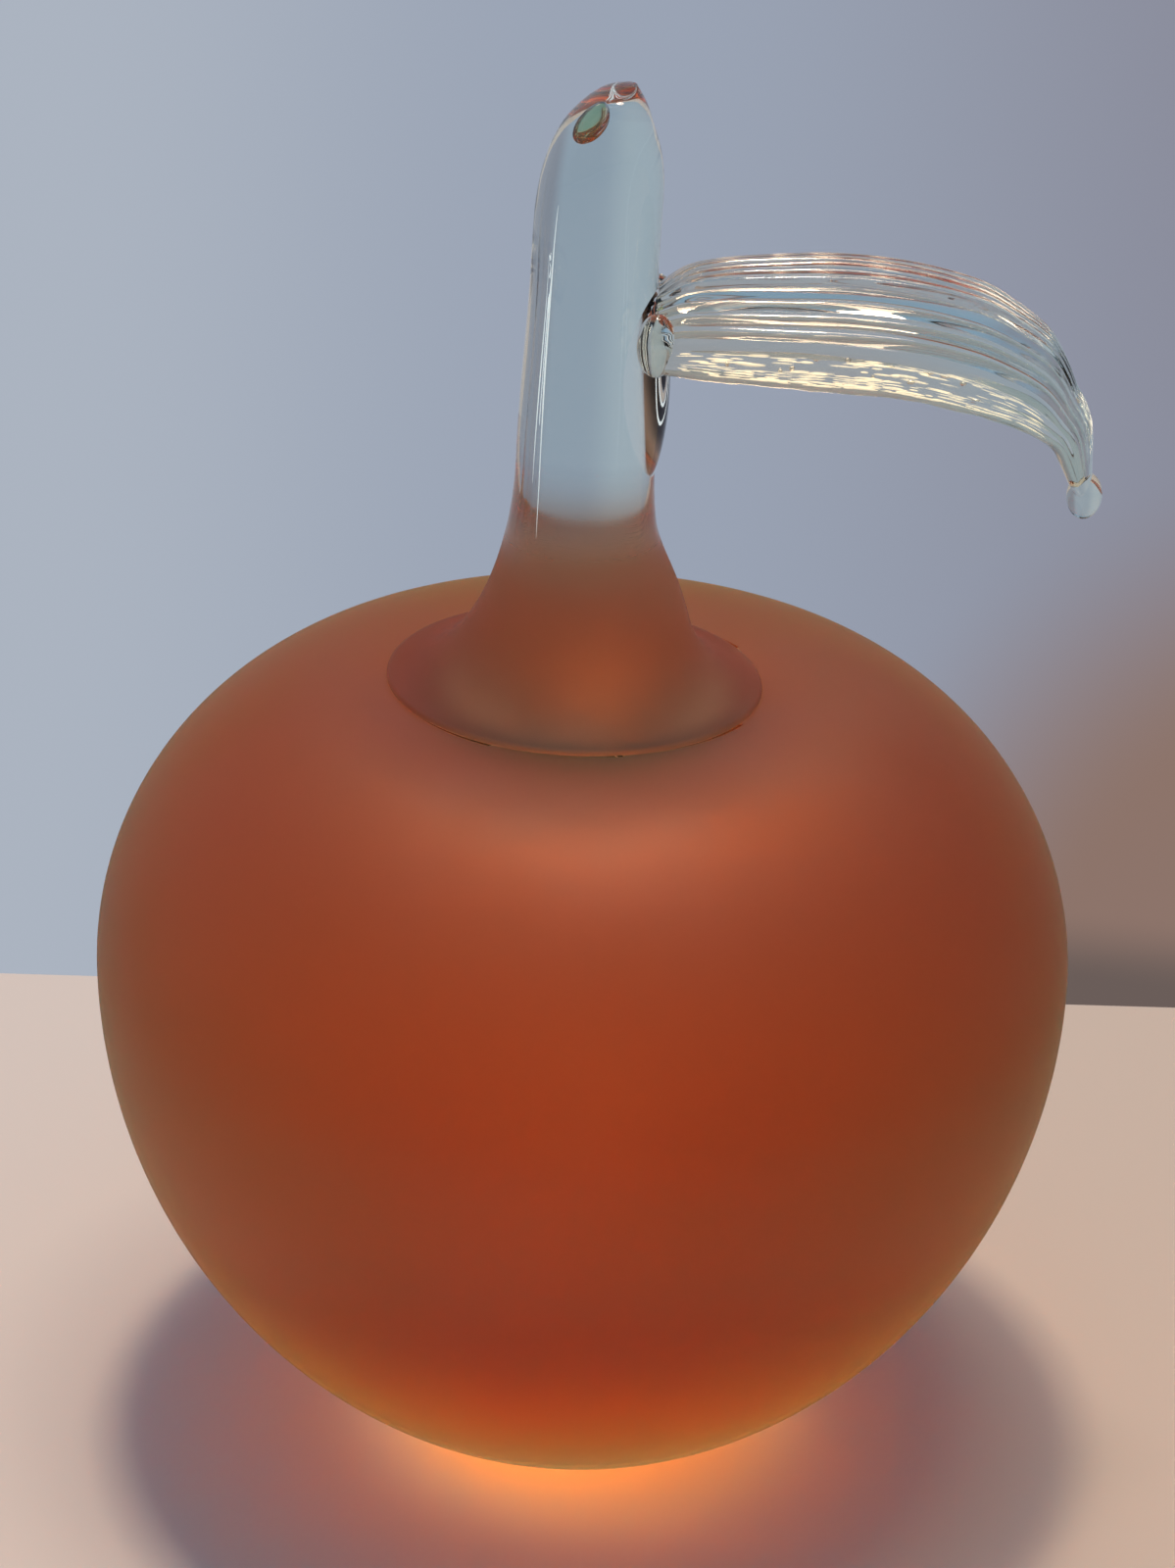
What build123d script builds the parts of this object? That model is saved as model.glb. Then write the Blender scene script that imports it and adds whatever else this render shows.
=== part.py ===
from build123d import *
import os
from math import acos, cos, degrees, radians, sin, sqrt

# Art glass apple: a hollow blown body with a satin outer face, a clear stem with a
# flared foot, and a ribbed, arched leaf that droops from the stem's right side.
# Millimetres, +Z up. The origin is on the table plane, on the body's axis.
# The leaf reaches out along +X.

os.makedirs("parts", exist_ok=True)

# Body outline, from the ground base up to the dimple around the stem
body_radius = 50.0
base_radius = 14.0
base_bevel = 0.5
underside_radius = 56.0
flank_radius = 58.0
flank_turn = 42.0
shoulder_turn = 60.0
crown_reach = 23.6
crown_radius = 20.0
dimple_turn = 35.0
dimple_radius = 10.0

# Walls: clear glass outside, a thin coloured bubble inside, and a heavy clear base
casing_wall = 4.0
colour_wall = 1.5
base_thickness = 10.0
bubble_round_share = 0.552

# Stem, measured along its own axis from the rim of its foot
stem_offset = -1.6
stem_lean = 1.2
foot_radius = 18.8
foot_lift = 0.5
foot_edge_radius = 0.4
flare_height = 23.0
trunk_radius = 6.8
neck_radius = 6.1
trunk_length = 21.5
tip_length = 15.4
plug_radius = 6.2
plug_drop = 2.0
plug_round = 1.6

# Levels of the rounded tip, which leans to one side where the hot glass was sheared off.
# Heights are shares of the tip's length, radii and leans are shares of the neck radius.
tip_height_shares = (0.0, 0.20, 0.40, 0.58, 0.74, 0.86, 0.95, 1.0)
tip_radius_shares = (1.0, 0.995, 0.965, 0.88, 0.72, 0.54, 0.33, 0.13)
tip_lean_shares = (0.0, 0.01, 0.04, 0.068, 0.097, 0.168, 0.255, 0.38)

# Leaf: its arch follows a centre line from inside the stem to the drooping tip
leaf_height = 32.9
leaf_root_share = 0.80
leaf_reach = 42.9
leaf_droop = 12.1
leaf_arch_radius = 12.0
leaf_lip_angle = 73.0
leaf_wall = 2.4
leaf_lip_wall = 3.2
lip_bulge_share = 0.4
rib_count = 14
rib_height = 0.3
rib_span_angle = 56.0

# Centre line, as shares of the reach and of the droop
leaf_reach_shares = (0.0, 0.28, 0.54, 0.765, 0.908, 1.0)
leaf_droop_shares = (0.0, 0.06, 0.115, 0.28, 0.52, 1.0)
leaf_end_slope_share = 1.57

# Stations along the centre line, and the arch radius at each as a share of the widest
leaf_station_shares = (0.0, 0.08, 0.23, 0.43, 0.62, 0.755, 0.857, 0.928, 1.0)
leaf_radius_shares = (0.60, 0.81, 0.93, 1.0, 0.965, 0.80, 0.48, 0.31, 0.167)

# Rounded ends of the leaf: knobs at the root, and the drop that hangs at the tip
knob_radius = 1.9
knob_half_height = 3.1
knob_reach_share = 0.031
knob_angle = 60.0
knob_out_share = 0.625
bead_radius = 1.75
bead_half_height = 2.4
bead_drop_share = 0.33

# Pad of glass that joins the leaf to the stem's side
pad_radius = 3.5
pad_half_height = 10.2
pad_angle = -15.0
pad_depth_share = 0.82

# How far a scrap volume runs past what it cuts
overrun = 2.0


def unit(angle):
    # A direction in the half section, measured up from the horizontal.
    return (cos(radians(angle)), sin(radians(angle)))


# Body arcs: each centre follows from the arc before it, so the outline stays smooth.
flank_x = body_radius - flank_radius
underside_x = flank_x + (flank_radius - underside_radius) * unit(flank_turn)[0]
base_turn = degrees(acos((base_radius - underside_x) / underside_radius))
flank_rise = flank_radius * unit(flank_turn)[1]
equator_height = flank_rise + underside_radius * (unit(base_turn)[1] - unit(flank_turn)[1])
underside_z = equator_height - (flank_radius - underside_radius) * unit(flank_turn)[1]
shoulder_span = body_radius - crown_reach - crown_radius * unit(shoulder_turn)[0]
shoulder_radius = shoulder_span / (1 - unit(shoulder_turn)[0])
shoulder_x = body_radius - shoulder_radius
crown_x = crown_reach
crown_z = equator_height + (shoulder_radius - crown_radius) * unit(shoulder_turn)[1]
dimple_x = crown_x - (crown_radius + dimple_radius) * unit(90 - dimple_turn)[0]
dimple_z = crown_z + (crown_radius + dimple_radius) * unit(90 - dimple_turn)[1]
dimple_floor = dimple_z - dimple_radius
foot_height = crown_z + sqrt(crown_radius**2 - (crown_x - foot_radius) ** 2) + foot_lift


def draw_top(inset):
    # Shoulder, crown and dimple down to the axis, set in by a wall; drawn into a line.
    CenterArc((shoulder_x, equator_height), shoulder_radius - inset, 0, shoulder_turn)
    crown_sweep = 90 + dimple_turn - shoulder_turn
    CenterArc((crown_x, crown_z), crown_radius - inset, shoulder_turn, crown_sweep)
    CenterArc((dimple_x, dimple_z), dimple_radius + inset, dimple_turn - 90, -dimple_turn)
    Line((dimple_x, dimple_floor - inset), (0, dimple_floor - inset))


def outer_section():
    # Half section of the whole body, as its outer face runs.
    with BuildSketch(Plane.XZ) as section:
        with BuildLine():
            Line((0, 0), (base_radius, 0))
            CenterArc((underside_x, underside_z), underside_radius, -base_turn, base_turn - flank_turn)
            CenterArc((flank_x, equator_height), flank_radius, -flank_turn, flank_turn)
            draw_top(0)
            Line((0, dimple_floor), (0, 0))
        make_face()
    return section.sketch


def inner_section(inset, floor):
    # Half section of the space inside a wall: round below, like a bubble that sank a little.
    reach = body_radius - inset
    depth = equator_height - floor
    with BuildSketch(Plane.XZ) as section:
        with BuildLine():
            low_pull = (bubble_round_share * reach, floor)
            side_pull = (reach, equator_height - bubble_round_share * depth)
            Bezier((0, floor), low_pull, side_pull, (reach, equator_height))
            draw_top(inset)
            Line((0, dimple_floor - inset), (0, floor))
        make_face()
    return section.sketch


body_outer = outer_section()
bubble_outer = inner_section(casing_wall, base_thickness)
hollow_inner = inner_section(casing_wall + colour_wall, base_thickness + colour_wall)

# The stem stands on its own plane, off the body's axis and leaning towards the leaf.
lean_direction = (sin(radians(stem_lean)), 0, cos(radians(stem_lean)))
across_direction = (cos(radians(stem_lean)), 0, -sin(radians(stem_lean)))
foot_plane = Plane((stem_offset, 0, foot_height), x_dir=across_direction, z_dir=lean_direction)
stem_section_plane = Plane(foot_plane.origin, x_dir=across_direction, z_dir=(0, -1, 0))
foot_depth = foot_height - dimple_floor
plug_bottom = foot_depth + casing_wall + colour_wall + plug_drop

# Solid of the whole body, which shapes the underside of the stem's foot
with BuildPart() as body_envelope:
    revolve(body_outer, axis=Axis.Z)

# Clear glass outside: heavy at the base, with the blow hole at the top
with BuildPart() as clear_casing:
    revolve(body_outer, axis=Axis.Z)
    chamfer(clear_casing.edges().group_by(Axis.Z)[0], base_bevel)
    revolve(bubble_outer, axis=Axis.Z, mode=Mode.SUBTRACT)
    with Locations(foot_plane.offset(-plug_bottom)):
        Cylinder(
            plug_radius,
            plug_bottom + overrun,
            align=(Align.CENTER, Align.CENTER, Align.MIN),
            mode=Mode.SUBTRACT,
        )

# Coloured bubble inside it, open at the same blow hole
with BuildPart() as colour_bubble:
    revolve(bubble_outer, axis=Axis.Z)
    revolve(hollow_inner, axis=Axis.Z, mode=Mode.SUBTRACT)
    with Locations(foot_plane.offset(-plug_bottom)):
        Cylinder(
            plug_radius,
            plug_bottom + overrun,
            align=(Align.CENTER, Align.CENTER, Align.MIN),
            mode=Mode.SUBTRACT,
        )

# Stem: flared foot, plug in the blow hole, and the trunk drawn up to its sheared tip
tip_base = flare_height + trunk_length
with BuildPart() as stem:
    with BuildSketch(stem_section_plane):
        with BuildLine():
            flare_x = foot_radius - foot_edge_radius
            flare_centre = (flare_x, flare_height)
            trunk_middle = ((neck_radius + trunk_radius) / 2, (flare_height + tip_base) / 2)
            Line((0, tip_base), (neck_radius, tip_base))
            TangentArc((neck_radius, tip_base), trunk_middle, tangent=(0, -1))
            TangentArc((trunk_radius, flare_height), trunk_middle, tangent=(0, 1))
            EllipticalCenterArc(flare_centre, flare_x - trunk_radius, flare_height, 180, arc_size=90)
            CenterArc((flare_x, -foot_edge_radius), foot_edge_radius, 0, 90)
            Line((foot_radius, -foot_edge_radius), (foot_radius, -foot_depth - overrun))
            Line((foot_radius, -foot_depth - overrun), (0, -foot_depth - overrun))
            Line((0, -foot_depth - overrun), (0, tip_base))
        make_face()
    revolve(axis=Axis(foot_plane.origin, foot_plane.z_dir))
    add(body_envelope.part, mode=Mode.SUBTRACT)
    for height, radius, lean in zip(tip_height_shares, tip_radius_shares, tip_lean_shares):
        with BuildSketch(foot_plane.offset(tip_base + height * tip_length)):
            with Locations((lean * neck_radius, 0)):
                Circle(radius * neck_radius)
    loft()
    with BuildSketch(foot_plane.offset(-plug_bottom)):
        Circle(plug_radius)
    extrude(amount=plug_bottom)
    fillet(stem.edges().group_by(Axis.Z)[0], plug_round)

# Pad of glass laid down the stem's right side, where the leaf is joined on
pad_axis = foot_plane.offset(leaf_height).origin
pad_out = pad_depth_share * neck_radius
pad_x = pad_axis.X + pad_out * cos(radians(pad_angle))
pad_y = pad_out * sin(radians(pad_angle))
pad_centre = Vector(pad_x, pad_y, pad_axis.Z)
with BuildPart() as join_pad:
    with BuildSketch(Plane(pad_centre, x_dir=(1, 0, 0), z_dir=(0, -1, 0))):
        with BuildLine():
            EllipticalCenterArc((0, 0), pad_radius, pad_half_height, -90, arc_size=180)
            Line((0, pad_half_height), (0, -pad_half_height))
        make_face()
    revolve(axis=Axis(pad_centre, (0, 0, 1)))
    add(stem.part, mode=Mode.SUBTRACT)

# Leaf centre line, from inside the stem out to the tip
stem_point = foot_plane.offset(leaf_height).origin
root_x = stem_point.X + leaf_root_share * neck_radius
leaf_points = [
    Vector(root_x + reach * leaf_reach, 0, stem_point.Z - droop * leaf_droop)
    for reach, droop in zip(leaf_reach_shares, leaf_droop_shares)
]
with BuildLine() as leaf_line:
    Spline(*leaf_points, tangents=((1, 0, 0), (1, 0, -leaf_end_slope_share)))
centre_line = leaf_line.edges()[0]


def arch_point(radius, angle):
    # A point of the leaf's arch, by its angle from the ridge.
    return (radius * sin(radians(angle)), radius * cos(radians(angle)))


def draw_leaf_section(arch_radius):
    # One section of the blade: ribbed outer face, rounded lips and a plain inner face.
    narrowing = arch_radius / leaf_arch_radius
    thinning = sqrt(narrowing)
    valley = arch_radius - rib_height * narrowing
    lip_wall = leaf_lip_wall * thinning
    lip_middle = valley - lip_wall / 2
    lip_turn = degrees(lip_bulge_share * lip_wall / lip_middle)
    rib_pitch = 2 * rib_span_angle / rib_count
    for side in (-1, 1):
        plain_end = arch_point(valley, side * rib_span_angle)
        plain_middle = arch_point(valley, side * (rib_span_angle + leaf_lip_angle) / 2)
        lip_outer = arch_point(valley, side * leaf_lip_angle)
        lip_end = arch_point(lip_middle, side * (leaf_lip_angle + lip_turn))
        lip_inner = arch_point(valley - lip_wall, side * leaf_lip_angle)
        ThreePointArc(plain_end, plain_middle, lip_outer)
        ThreePointArc(lip_outer, lip_end, lip_inner)
    for rib in range(rib_count):
        low = -rib_span_angle + rib * rib_pitch
        crest = arch_point(arch_radius, low + rib_pitch / 2)
        ThreePointArc(arch_point(valley, low), crest, arch_point(valley, low + rib_pitch))
    inner_left = arch_point(valley - lip_wall, -leaf_lip_angle)
    inner_right = arch_point(valley - lip_wall, leaf_lip_angle)
    ThreePointArc(inner_left, arch_point(valley - leaf_wall * thinning, 0), inner_right)


# Knobs where the root of the leaf was folded round onto the stem, front and back
knob_x = root_x + knob_reach_share * leaf_reach
knob_side, knob_up = arch_point(knob_out_share * leaf_arch_radius, knob_angle)

# Drop of glass at the tip
tip_level = Plane(centre_line @ 1, x_dir=(0, 1, 0), z_dir=centre_line % 1)
tip_middle = tip_level.origin + tip_level.y_dir * (leaf_arch_radius * leaf_radius_shares[-1] / 2)
bead_centre = tip_middle - Vector(0, 0, bead_half_height * bead_drop_share)
with BuildPart() as tip_bead:
    with BuildSketch(Plane(bead_centre, x_dir=(1, 0, 0), z_dir=(0, -1, 0))):
        with BuildLine():
            EllipticalCenterArc((0, 0), bead_radius, bead_half_height, -90, arc_size=180)
            Line((0, bead_half_height), (0, -bead_half_height))
        make_face()
    revolve(axis=Axis(bead_centre, (0, 0, 1)))

# Leaf blade, pressed with ribs, arched across its width and drooping to its tip
with BuildPart() as leaf_blade:
    for station, radius_share in zip(leaf_station_shares, leaf_radius_shares):
        level = Plane(centre_line @ station, x_dir=(0, 1, 0), z_dir=centre_line % station)
        with BuildSketch(level):
            with BuildLine():
                draw_leaf_section(radius_share * leaf_arch_radius)
            make_face()
    loft()
    for side in (-1, 1):
        knob_centre = Vector(knob_x, side * knob_side, stem_point.Z + knob_up)
        with BuildSketch(Plane(knob_centre, x_dir=(1, 0, 0), z_dir=(0, -1, 0))):
            with BuildLine():
                EllipticalCenterArc((0, 0), knob_radius, knob_half_height, -90, arc_size=180)
                Line((0, knob_half_height), (0, -knob_half_height))
            make_face()
        revolve(axis=Axis(knob_centre, (0, 0, 1)))
    add(stem.part, mode=Mode.SUBTRACT)
    add(join_pad.part, mode=Mode.SUBTRACT)
    add(tip_bead.part, mode=Mode.SUBTRACT)

clear_casing.part.label = "clear_casing"
colour_bubble.part.label = "colour_bubble"
stem.part.label = "stem"
join_pad.part.label = "join_pad"
leaf_blade.part.label = "leaf_blade"
tip_bead.part.label = "tip_bead"

export_step(clear_casing.part, "parts/clear_casing.step")
export_step(colour_bubble.part, "parts/colour_bubble.step")
export_step(stem.part, "parts/stem.step")
export_step(join_pad.part, "parts/join_pad.step")
export_step(leaf_blade.part, "parts/leaf_blade.step")
export_step(tip_bead.part, "parts/tip_bead.step")
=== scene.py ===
# %% [markdown]
# # A glass apple
#
# The object is hot-worked glass: a hollow body with a satin outer face and an orange
# bubble inside, a clear stem with a flared foot, and a ribbed leaf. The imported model
# gives every piece its place. This script models the same pieces more finely, gives
# them their glass, and sets up the table, the light and the camera.

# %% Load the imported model
import random
from math import acos, asin, atan2, cos, exp, hypot, pi, radians, sin, sqrt

import bmesh
import bpy
from mathutils import Matrix, Vector, noise
from mathutils.bvhtree import BVHTree


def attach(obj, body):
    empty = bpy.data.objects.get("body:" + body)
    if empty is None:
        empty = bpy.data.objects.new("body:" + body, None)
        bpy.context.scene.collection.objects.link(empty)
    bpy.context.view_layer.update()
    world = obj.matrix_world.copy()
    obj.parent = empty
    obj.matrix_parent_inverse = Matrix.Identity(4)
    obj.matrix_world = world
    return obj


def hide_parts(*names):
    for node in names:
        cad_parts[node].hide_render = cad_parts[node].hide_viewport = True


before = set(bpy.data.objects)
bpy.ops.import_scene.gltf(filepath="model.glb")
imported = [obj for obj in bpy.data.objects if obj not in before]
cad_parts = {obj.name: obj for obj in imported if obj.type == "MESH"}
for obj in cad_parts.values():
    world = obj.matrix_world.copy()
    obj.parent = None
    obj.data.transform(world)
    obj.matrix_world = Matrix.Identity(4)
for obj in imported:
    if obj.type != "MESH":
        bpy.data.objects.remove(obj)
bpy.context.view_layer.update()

mm = 0.001
scene = bpy.context.scene

# %% [markdown]
# ## The camera
#
# The photograph looks down at the apple from the front, with a slight roll. The camera
# stands where the body's outline and the foot's rim agree with the photograph. The lens
# follows from the focal length in pixels and the width of the picture.

# %% Camera


def add_object(name, data):
    # Puts new data into the scene as an object.
    made = bpy.data.objects.new(name, data)
    scene.collection.objects.link(made)
    return made


camera_place = Vector((0, -332.74, 228.53)) * mm
camera_pitch = radians(25.16)
camera_roll = radians(1.68)
focal_pixels = 3692
picture_width = 1199
sensor_width = 36

forward = Vector((0, cos(camera_pitch), -sin(camera_pitch)))
across = Vector((1, 0, 0))
upward = across.cross(forward)
camera_x = cos(camera_roll) * across + sin(camera_roll) * upward
camera_y = cos(camera_roll) * upward - sin(camera_roll) * across
camera_data = bpy.data.cameras.new("camera")
camera_data.sensor_fit = "HORIZONTAL"
camera_data.sensor_width = sensor_width
camera_data.lens = focal_pixels / picture_width * sensor_width
camera_data.clip_start = 10 * mm
camera = add_object("camera", camera_data)
camera_turn = Matrix((camera_x, camera_y, -forward)).transposed().to_4x4()
camera.matrix_world = Matrix.Translation(camera_place) @ camera_turn
scene.camera = camera
print("camera lens", round(camera_data.lens, 2), "mm")

# %% [markdown]
# ## Helpers for nodes
#
# Every colour in the scene is built from nodes. Written out in full a node tree is long,
# so a few short functions add a node, feed its inputs and give back its output.

# %% Helpers for nodes


def feed(tree, socket, value):
    # Gives an input a plain value, or links another socket to it.
    if isinstance(value, (int, float, tuple)):
        socket.default_value = value
    else:
        tree.links.new(value, socket)


def set_up(tree, node, **settings):
    # Sets a node's properties and feeds its inputs, both by their names.
    for name, value in settings.items():
        if hasattr(node, name):
            setattr(node, name, value)
        else:
            feed(tree, node.inputs[name.replace("_", " ")], value)
    return node


def add_node(tree, kind, **settings):
    # Adds a node and sets it up.
    return set_up(tree, tree.nodes.new(kind), **settings)


def map_range(tree, value, low, high, start=0.0, end=1.0, smooth=True):
    # A ramp from start to end as value goes from low to high.
    node = add_node(tree, "ShaderNodeMapRange")
    node.interpolation_type = "SMOOTHSTEP" if smooth else "LINEAR"
    for index, number in enumerate((value, low, high, start, end)):
        feed(tree, node.inputs[index], number)
    return node.outputs["Result"]


def mix_colour(tree, factor, first, second):
    # Goes from the first colour to the second as the factor goes from 0 to 1.
    node = add_node(tree, "ShaderNodeMix", data_type="RGBA")
    for index, value in ((0, factor), (6, first), (7, second)):
        feed(tree, node.inputs[index], value)
    return node.outputs[2]


def calculate(tree, operation, first, second):
    # One step of arithmetic on two values.
    node = add_node(tree, "ShaderNodeMath", operation=operation)
    feed(tree, node.inputs[0], first)
    feed(tree, node.inputs[1], second)
    return node.outputs[0]


def object_place(tree):
    # The place in the object's own frame.
    return add_node(tree, "ShaderNodeTexCoord").outputs["Object"]


def coordinate(tree, place, axis):
    # One coordinate of a place or a direction.
    return add_node(tree, "ShaderNodeSeparateXYZ", Vector=place).outputs[axis]


def vector_math(tree, operation, place, other=(0, 0, 0)):
    # A node that works on two vectors. Its "Value" output is a number.
    node = add_node(tree, "ShaderNodeVectorMath", operation=operation)
    feed(tree, node.inputs[0], place)
    feed(tree, node.inputs[1], other)
    return node


print("node helpers ready")

# %% [markdown]
# ## The room
#
# The room is the world itself: a pale, cool wall behind the apple, brighter at the left,
# and a darker room behind the camera. A world that is painted by direction lights the
# glass from all sides and leaves no wall in the way when the camera goes round. The wall
# as the camera sees it darkens quickly to the right. Glass bends its rays far out to the
# sides, so what they meet darkens later, and the stem stays evenly pale.

# %% World
world = bpy.data.worlds.new("room")
scene.world = world
world.use_nodes = True
room = world.node_tree
room.nodes.clear()

wall_left = (0.41, 0.455, 0.53, 1)
wall_middle = (0.325, 0.37, 0.46, 1)
wall_right = (0.25, 0.255, 0.32, 1)
room_behind = (0.24, 0.22, 0.21, 1)
ceiling = (0.21, 0.36, 0.54, 1)
# The next two colours are painted shade on the wall
wall_shadow = (0.265, 0.175, 0.145, 1)
wall_foot_shade = (0.145, 0.11, 0.10, 1)
direction = add_node(room, "ShaderNodeTexCoord").outputs["Generated"]
to_side = coordinate(room, direction, "X")
upwards = coordinate(room, direction, "Z")
in_view = add_node(room, "ShaderNodeLightPath").outputs["Is Camera Ray"]


def shaded_wall(left_edge, left_end, right_edge, right_end):
    # The wall's colour from left to right, by how far a ray points to the side.
    left_share = map_range(room, to_side, left_edge, left_end)
    right_share = map_range(room, to_side, right_edge, right_end)
    shaded = mix_colour(room, left_share, wall_middle, wall_left)
    return mix_colour(room, right_share, shaded, wall_right)


wall_in_glass = shaded_wall(0.05, -0.35, 0.40, 0.60)
wall_seen = shaded_wall(0.0, -0.16, 0.0, 0.20)
wall = mix_colour(room, in_view, wall_in_glass, wall_seen)
# Painted shade: the soft warm shadow that the apple throws on the wall, low at the right, and a painted
# dark line where the wall meets the table, seen by camera rays only
shadow_direction = (0.215, 0.87, -0.475)
from_shadow = vector_math(room, "DISTANCE", direction, shadow_direction)
in_shadow = map_range(room, from_shadow.outputs["Value"], 0.165, 0.085)
seen = calculate(room, "MULTIPLY", in_shadow, in_view)
low_down = map_range(room, upwards, -0.448, -0.466)
warm = mix_colour(room, low_down, wall_shadow, wall_foot_shade)
wall = mix_colour(room, seen, wall, warm)
behind = map_range(room, coordinate(room, direction, "Y"), 0.1, -0.5)
sides = mix_colour(room, behind, wall, room_behind)
overhead_share = map_range(room, upwards, 0.35, 0.9)
sky = mix_colour(room, overhead_share, sides, ceiling)
background = add_node(room, "ShaderNodeBackground", Strength=1.0, Color=sky)
add_node(room, "ShaderNodeOutputWorld", Surface=background.outputs[0])
print("world nodes", len(room.nodes))

# %% [markdown]
# ## The light
#
# The apple's shadow lies almost straight under it, so the main light hangs overhead, a
# little behind and to the left. It is a small warm panel high up. Its size sets how soft
# the shadow's edge is. A second, wider panel softens that edge and gives the ribs of the
# leaf their broad highlights.

# %% Lamps


def add_lamp(name, place, length, width, watts, colour):
    # An area lamp that points at the middle of the apple.
    lamp = bpy.data.lights.new(name, "AREA")
    lamp.shape = "RECTANGLE"
    lamp.size = length
    lamp.size_y = width
    lamp.energy = watts
    lamp.color = colour
    lamp_object = add_object(name, lamp)
    lamp_object.location = place
    aim = Vector((0, 0, 60 * mm)) - lamp_object.location
    lamp_object.rotation_euler = aim.to_track_quat("-Z", "Y").to_euler()
    return lamp_object


lamp_height = 1.25
lamp_back = 0.12
overhead_place = Vector((-0.06, lamp_back, lamp_height))
wide_place = Vector((0.08, lamp_back, lamp_height))
overhead = add_lamp("overhead_panel", overhead_place, 0.14, 0.11, 7.6, (1.0, 0.79, 0.60))
wide = add_lamp("wide_panel", wide_place, 0.56, 0.26, 5.8, (1.0, 0.76, 0.56))
print("lamps", round(overhead.data.energy, 1), "W and", round(wide.data.energy, 1), "W")

# %% [markdown]
# ## The table
#
# A plain pale table top, whose far edge passes behind the apple. It is one flat box with
# a rounded edge.

# %% Table
table_back = 91 * mm
table_front = -1.6
table_half_width = 1.6
table_thickness = 20 * mm
table_round = 2 * mm
# Painted shade: the table top darkens towards the right
table_left = (0.60, 0.545, 0.51, 1)
table_right_shaded = (0.52, 0.435, 0.37, 1)


def mesh_from(bm, name):
    # Turns a bmesh into a mesh and lets go of it.
    mesh = bpy.data.meshes.new(name)
    bm.to_mesh(mesh)
    bm.free()
    return mesh


bm = bmesh.new()
bmesh.ops.create_cube(bm, size=1.0)
table_size = (2 * table_half_width, table_back - table_front, table_thickness)
bmesh.ops.scale(bm, vec=table_size, verts=bm.verts)
table_middle = Vector((0, (table_back + table_front) / 2, -table_thickness / 2))
bmesh.ops.translate(bm, vec=table_middle, verts=bm.verts)
bmesh.ops.bevel(
    bm, geom=bm.edges, offset=table_round, segments=4, profile=0.5, affect="EDGES", material=-1
)
table_mesh = mesh_from(bm, "table_top")
table = add_object("table_top", table_mesh)

table_paint = bpy.data.materials.new("table_paint")
table_paint.use_nodes = True
table_tree = table_paint.node_tree
table_across = coordinate(table_tree, object_place(table_tree), "X")
table_side = map_range(table_tree, table_across, -80 * mm, 80 * mm)
table_colour = mix_colour(table_tree, table_side, table_left, table_right_shaded)
set_up(table_tree, table_tree.nodes["Principled BSDF"], Base_Color=table_colour, Roughness=0.75)
table_mesh.materials.append(table_paint)
print("table top", [round(v, 3) for v in table.dimensions])

# %% [markdown]
# ## The sizes of the body
#
# The body's outline is a chain of arcs that flow into each other: underside, flank,
# shoulder, crown and dimple. Each arc starts where the one before it ends, so only the
# radii and turns are written down and the centres follow from them.

# %% Body sizes
body_radius = 50.0 * mm
base_radius = 14.0 * mm
base_bevel = 0.5 * mm
underside_radius = 56.0 * mm
flank_radius = 58.0 * mm
flank_turn = radians(42.0)
shoulder_turn = radians(60.0)
crown_reach = 23.6 * mm
crown_radius = 20.0 * mm
dimple_turn = radians(35.0)
dimple_radius = 10.0 * mm
casing_wall = 4.0 * mm
colour_wall = 1.5 * mm
base_thickness = 10.0 * mm
bubble_round_share = 0.552

flank_x = body_radius - flank_radius
underside_x = flank_x + (flank_radius - underside_radius) * cos(flank_turn)
base_turn = acos((base_radius - underside_x) / underside_radius)
equator = flank_radius * sin(flank_turn) + underside_radius * (sin(base_turn) - sin(flank_turn))
underside_z = equator - (flank_radius - underside_radius) * sin(flank_turn)
shoulder_span = body_radius - crown_reach - crown_radius * cos(shoulder_turn)
shoulder_radius = shoulder_span / (1 - cos(shoulder_turn))
shoulder_x = body_radius - shoulder_radius
crown_z = equator + (shoulder_radius - crown_radius) * sin(shoulder_turn)
dimple_x = crown_reach - (crown_radius + dimple_radius) * sin(dimple_turn)
dimple_z = crown_z + (crown_radius + dimple_radius) * cos(dimple_turn)
dimple_floor = dimple_z - dimple_radius
print("equator", round(equator / mm, 2), "dimple floor", round(dimple_floor / mm, 2), "mm")

# %% [markdown]
# A vertex that is spun about a centre leaves a chain of edges behind it, which is an arc.
# That is how the outlines are drawn, and a second spin about the upright axis then turns
# an outline into a round surface.

# %% Helpers for round pieces
step_length = 1.1 * mm
round_steps = 176


def arc(bm, vert, centre_x, centre_z, turn):
    # Spins a vertex in the XZ plane about a centre and returns the last vertex.
    radius = hypot(vert.co.x - centre_x, vert.co.z - centre_z)
    steps = max(4, round(abs(turn) * radius / step_length))
    made = bmesh.ops.spin(
        bm, geom=[vert], cent=(centre_x, 0, centre_z), axis=(0, -1, 0), angle=turn, steps=steps
    )
    return next(item for item in made["geom_last"] if isinstance(item, bmesh.types.BMVert))


def line_to(bm, vert, x, z):
    # Joins a vertex to a new one at a place in the XZ plane.
    new = bm.verts.new((x, 0, z))
    bm.edges.new((vert, new))
    return new


def spin_round(bm):
    # Turns the outline in the mesh into a round surface about the Z axis.
    outline = bm.verts[:] + bm.edges[:]
    bmesh.ops.spin(bm, geom=outline, axis=(0, 0, 1), angle=2 * pi, steps=round_steps, use_merge=True)
    bmesh.ops.remove_doubles(bm, verts=bm.verts, dist=0.002 * mm)


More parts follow.
